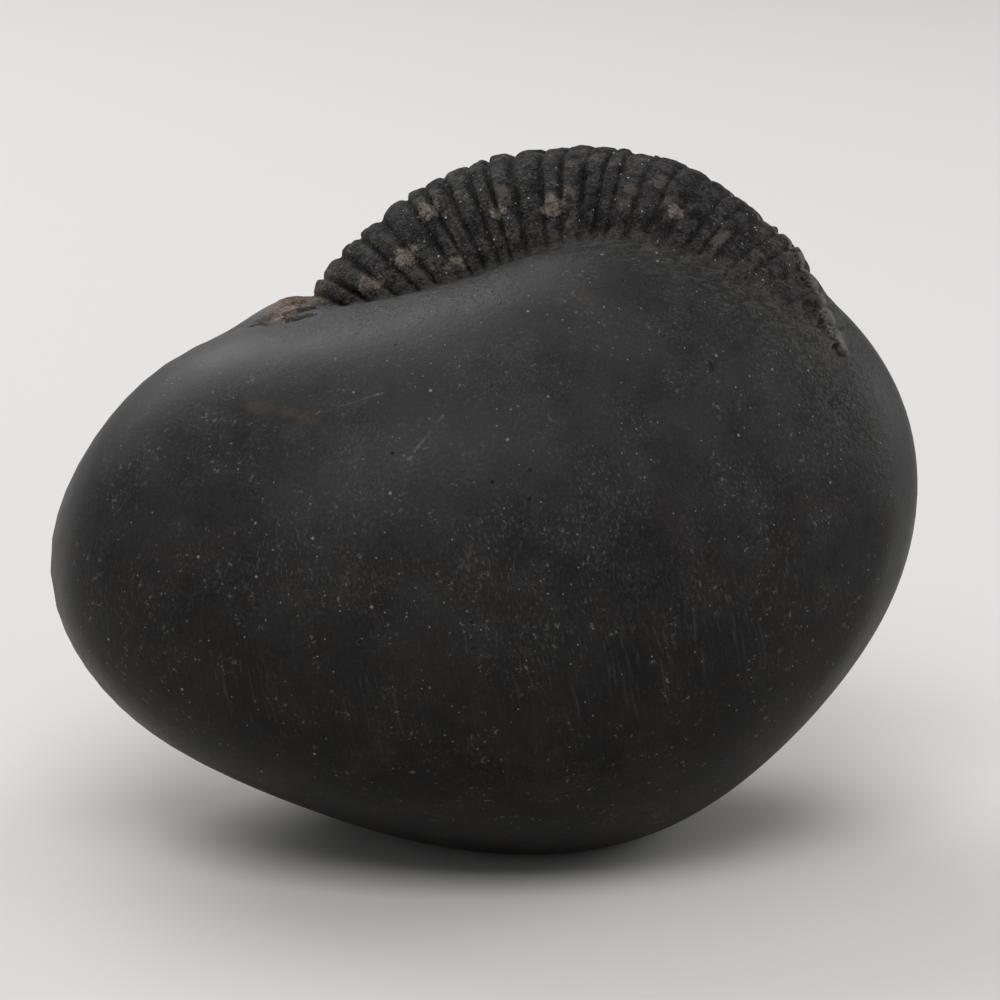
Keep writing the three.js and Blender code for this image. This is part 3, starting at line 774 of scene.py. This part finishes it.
class NodeGraph:
    """Short calls for the nodes that a material is made of. Lengths in it are in millimetres."""

    def __init__(self, material):
        material.use_nodes = True
        self.nodes = material.node_tree.nodes
        self.links = material.node_tree.links
        self.shader = self.nodes["Principled BSDF"]
        place = self.nodes.new("ShaderNodeTexCoord").outputs["Object"]
        from_origin = self.vector("SCALE", place, scale=1 / MM)
        self.place = self.vector("SUBTRACT", from_origin, COIL_CENTRE)
        self.wander = self.noise(**WANDER_NOISE)
        self.patterns = {}

    def make(self, kind, inputs, **settings):
        node = self.nodes.new(kind)
        for name, value in settings.items():
            setattr(node, name, value)
        for name, value in inputs.items():
            self.feed(node.inputs[name], value)
        return node

    def feed(self, socket, value):
        if isinstance(value, bpy.types.NodeSocket):
            self.links.new(value, socket)
        else:
            socket.default_value = value

    def maths(self, operation, first, second=0.0):
        return self.make("ShaderNodeMath", {0: first, 1: second}, operation=operation).outputs[0]

    def vector(self, operation, first, second=(0, 0, 0), scale=1.0):
        node = self.make("ShaderNodeVectorMath", {0: first, 1: second, 3: scale}, operation=operation)
        return node.outputs["Value" if operation in ("DISTANCE", "DOT_PRODUCT", "LENGTH") else "Vector"]

    def mark(self, name):
        return self.make("ShaderNodeAttribute", {}, attribute_name=name).outputs["Fac"]

    def noise(self, size, detail, roughness, shift=0.0, place=None):
        """Noise from 0 to 1 with lumps of about the given size."""
        moved = self.vector("ADD", place or self.place, (shift, shift, shift))
        inputs = {"Vector": moved, "Scale": 1 / size, "Detail": detail, "Roughness": roughness}
        return self.make("ShaderNodeTexNoise", inputs).outputs[0]

    def ease(self, value, start, end):
        """0 before start and 1 past end, also where end comes before start."""
        inputs = {"Value": value, "From Min": start, "From Max": end}
        return self.make("ShaderNodeMapRange", inputs, interpolation_type="SMOOTHSTEP").outputs["Result"]

    def mix(self, share, first, second):
        node = self.make("ShaderNodeMix", {0: share, 6: first, 7: second}, data_type="RGBA")
        return node.outputs[2]

    def product(self, *shares):
        result = shares[0]
        for share in shares[1:]:
            result = self.maths("MULTIPLY", result, share)
        return result

    def specks(self, spacing, radius, first_chance, second_chance):
        """Two kinds of round specks, at most one in each cell of the spacing."""
        cells = self.make("ShaderNodeTexVoronoi", {"Vector": self.place, "Scale": 1 / spacing})
        near = self.ease(cells.outputs["Distance"], radius / spacing, SPECK_CORE * radius / spacing)
        number = self.make("ShaderNodeSeparateColor", {0: cells.outputs["Color"]}).outputs[0]
        first = self.product(near, self.maths("LESS_THAN", number, first_chance))
        second = self.product(near, self.maths("GREATER_THAN", number, 1 - second_chance))
        return first, second

    def streaks(self, direction, width, length):
        """Thin lines along a direction: noise that is drawn out along it."""
        along = Vector(direction).normalized()
        side = along.orthogonal().normalized()
        other = along.cross(side)
        parts = [
            self.vector("DOT_PRODUCT", self.place, side / width),
            self.vector("DOT_PRODUCT", self.place, other / width),
            self.vector("DOT_PRODUCT", self.place, along / length),
        ]
        drawn_out = self.make("ShaderNodeCombineXYZ", dict(enumerate(parts))).outputs[0]
        return self.noise(**STREAK_NOISE, place=drawn_out)

    def near_line(self, start, end, half_width):
        """1 on the straight stretch between two places, fading out unevenly over about the half width."""
        line = Vector(end) - Vector(start)
        from_start = self.vector("SUBTRACT", self.place, start)
        travel = self.vector("DOT_PRODUCT", from_start, line / line.length_squared)
        clamped = self.make("ShaderNodeClamp", {0: travel}).outputs[0]
        on_line = self.vector("SCALE", tuple(line), scale=clamped)
        distance = self.vector("DISTANCE", from_start, on_line)
        distance = self.maths("ADD", distance, self.product(self.wander, half_width * LINE_EDGE["wander"]))
        return self.ease(distance, half_width * LINE_EDGE["start"], half_width * LINE_EDGE["end"])

    def cover(self, places, share=1.0):
        """How strongly a layer covers: its share times the strengths of all its places."""
        strengths = [share]
        for name, *edges in places:
            strength = self.patterns[name]
            strengths.append(self.ease(strength, *edges) if edges else strength)
        return self.product(*strengths)

    def layered(self, colour, layers):
        """The colour under a row of layers."""
        for layer_colour, share, places in layers:
            colour = self.mix(self.cover(places, share), colour, layer_colour)
        return colour


def add_patterns(graph):
    """Gives the graph every pattern and mark that says where a layer lies."""
    patterns = graph.patterns
    for name, noise in NOISES.items():
        patterns[name] = graph.noise(**noise)
    for name, streaks in STREAKS.items():
        patterns[name] = graph.streaks(**streaks)
    for name in MARKS:
        patterns[name] = graph.mark(name)

    height = graph.make("ShaderNodeSeparateXYZ", {0: graph.place}).outputs[2]
    low = graph.ease(height, LOW_PART["start"], LOW_PART["end"])
    patterns["low"] = low
    patterns["high"] = graph.maths("SUBTRACT", 1.0, graph.product(low, LOW_FADE))
    patterns["brown share"] = graph.maths("ADD", graph.product(low, BROWN_SHARE["low"]), BROWN_SHARE["high"])
    for name, places in NAMED_PLACES.items():
        patterns[name] = graph.cover(places)
    patterns["lines"] = graph.maths("MAXIMUM", patterns["scratches"], patterns["strokes"])

    fine_specks, patterns["painted glints"] = graph.specks(**FINE_SPECKS)
    patterns["pinholes"], wide_specks = graph.specks(**WIDE_SPECKS)
    patterns["specks"] = graph.maths("MAXIMUM", fine_specks, wide_specks)

    patch = graph.cover((CRUST_PATCH["edge"],), CRUST_PATCH["share"])
    crust = graph.product(graph.maths("MAXIMUM", patch, patterns["crust"]), CRUST_SHARES["mark"])
    crumble = graph.product(patterns["crumble"], CRUST_SHARES["crumble"])
    crumble = graph.maths("ADD", crumble, graph.product(patterns["sand"], CRUST_SHARES["sand"]))
    together = graph.maths("ADD", crust, crumble)
    patterns["crusted"] = graph.ease(together, CRUST_EDGE["start"], CRUST_EDGE["end"])
    lost = graph.product(patterns["groove"], CRUST_LOSS_IN_GROOVE)
    patterns["beside groove"] = graph.maths("SUBTRACT", 1.0, lost)


def stone_colour(graph):
    """The colour of the stone, with its painted shade and glints, and a pattern of all its pits."""
    patterns = graph.patterns
    skin = graph.layered(SKIN_DARK, SKIN_LAYERS)
    ribs = graph.layered(RIB_DARK, RIB_LAYERS)
    colour = graph.mix(patterns["ribbed"], skin, ribs)
    colour = graph.layered(colour, EDGE_LAYERS)
    broken = graph.mix(graph.cover(HOLLOW_CRUMBS), HOLLOW_COLOUR, LIP_COLOUR)
    colour = graph.mix(graph.cover(HOLLOW_PLACE), colour, broken)
    for start, end, half_width, strength, stain_or_painted_light in STAINS_AND_PAINTED_LIGHT:
        share = graph.cover((STAIN_GRAIN,), strength)
        colour = graph.mix(graph.product(graph.near_line(start, end, half_width), share), colour, stain_or_painted_light)
    pits = patterns["pinholes"]
    for place, radius in PITS:
        pit = graph.near_line(place, Vector(place) + PIT_STRETCH, radius)
        colour = graph.mix(graph.product(pit, PIT_STRENGTH), colour, PIT_AND_SHADE_COLOUR)
        pits = graph.maths("MAXIMUM", pits, pit)
    return colour, pits


def stone_roughness(graph):
    patterns = graph.patterns
    ribs = graph.product(patterns["ribbed"], RIB_ROUGHNESS - SKIN_ROUGHNESS)
    clouds = graph.product(graph.maths("SUBTRACT", patterns["clouds"], 0.5), CLOUD_ROUGHNESS)
    lines = graph.product(graph.maths("MAXIMUM", patterns["lines"], patterns["crumbs"]), LINE_ROUGHNESS)
    rough = graph.maths("ADD", ribs, SKIN_ROUGHNESS)
    return graph.maths("ADD", graph.maths("ADD", rough, clouds), lines)


def stone_bump(graph, pits):
    """The finest relief, worked out in millimetres."""
    patterns = graph.patterns
    grain = graph.product(patterns["grain"], BUMP_HEIGHTS["grain"])
    relief = graph.maths("ADD", grain, graph.product(patterns["scales"], BUMP_HEIGHTS["scales"]))
    relief = graph.maths("SUBTRACT", relief, graph.product(pits, BUMP_HEIGHTS["pits"]))
    rib_grain = graph.maths("ADD", patterns["sand"], patterns["coarse"])
    relief = graph.maths("ADD", relief, graph.product(patterns["ribbed"], rib_grain, BUMP_HEIGHTS["ribs"]))
    bump = graph.make("ShaderNodeBump", {"Strength": 1.0, "Distance": MM, "Height": relief})
    return bump.outputs[0]


def stone_material():
    material = bpy.data.materials.new("worn black stone")
    graph = NodeGraph(material)
    add_patterns(graph)
    colour, pits = stone_colour(graph)
    inputs = graph.shader.inputs
    graph.feed(inputs["Base Color"], colour)
    graph.feed(inputs["Roughness"], stone_roughness(graph))
    graph.feed(inputs["Normal"], stone_bump(graph, pits))
    inputs["Specular IOR Level"].default_value = STONE_SPECULAR
    return material


def make_floor():
    mesh = bpy.data.meshes.new("floor")
    corners = ((-1, -1), (1, -1), (1, 1), (-1, 1))
    places = [(x * FLOOR_HALF_SIZE, y * FLOOR_HALF_SIZE, 0) for x, y in corners]
    mesh.from_pydata(places, [], [range(len(places))])
    floor = bpy.data.objects.new("floor", mesh)
    bpy.context.scene.collection.objects.link(floor)
    material = bpy.data.materials.new("pale floor")
    material.use_nodes = True
    shader = material.node_tree.nodes["Principled BSDF"]
    shader.inputs["Base Color"].default_value = FLOOR_COLOUR
    shader.inputs["Roughness"].default_value = FLOOR_ROUGHNESS
    mesh.materials.append(material)


def make_light(name, place, width, height, watts):
    data = bpy.data.lights.new(name, "AREA")
    data.shape = "RECTANGLE"
    data.size = width
    data.size_y = height
    data.energy = watts
    light = bpy.data.objects.new(name, data)
    light.location = place
    aim = Vector(LIGHT_TARGET) - Vector(place)
    light.rotation_euler = aim.to_track_quat("-Z", "Y").to_euler()
    bpy.context.scene.collection.objects.link(light)


def make_lights():
    for light in LIGHTS:
        make_light(**light)
    world = bpy.data.worlds.new("studio")
    world.use_nodes = True
    background = world.node_tree.nodes["Background"]
    background.inputs["Color"].default_value = WORLD_COLOUR
    background.inputs["Strength"].default_value = WORLD_STRENGTH
    bpy.context.scene.world = world


def make_camera():
    data = bpy.data.cameras.new("camera")
    data.lens = CAMERA_LENS
    data.sensor_width = CAMERA_SENSOR
    camera = bpy.data.objects.new("camera", data)
    elevation = math.radians(CAMERA_ELEVATION)
    target = Vector(CAMERA_TARGET) * MM
    back = Vector((0, -math.cos(elevation), math.sin(elevation)))
    camera.location = target + back * CAMERA_DISTANCE * MM
    camera.rotation_euler = (-back).to_track_quat("-Z", "Y").to_euler()
    bpy.context.scene.collection.objects.link(camera)
    bpy.context.scene.camera = camera


stone = make_stone()
stone.data.materials.append(stone_material())
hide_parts(NODE)
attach(stone, "root")
make_floor()
make_lights()
make_camera()
bpy.context.scene.view_settings.view_transform = "Standard"
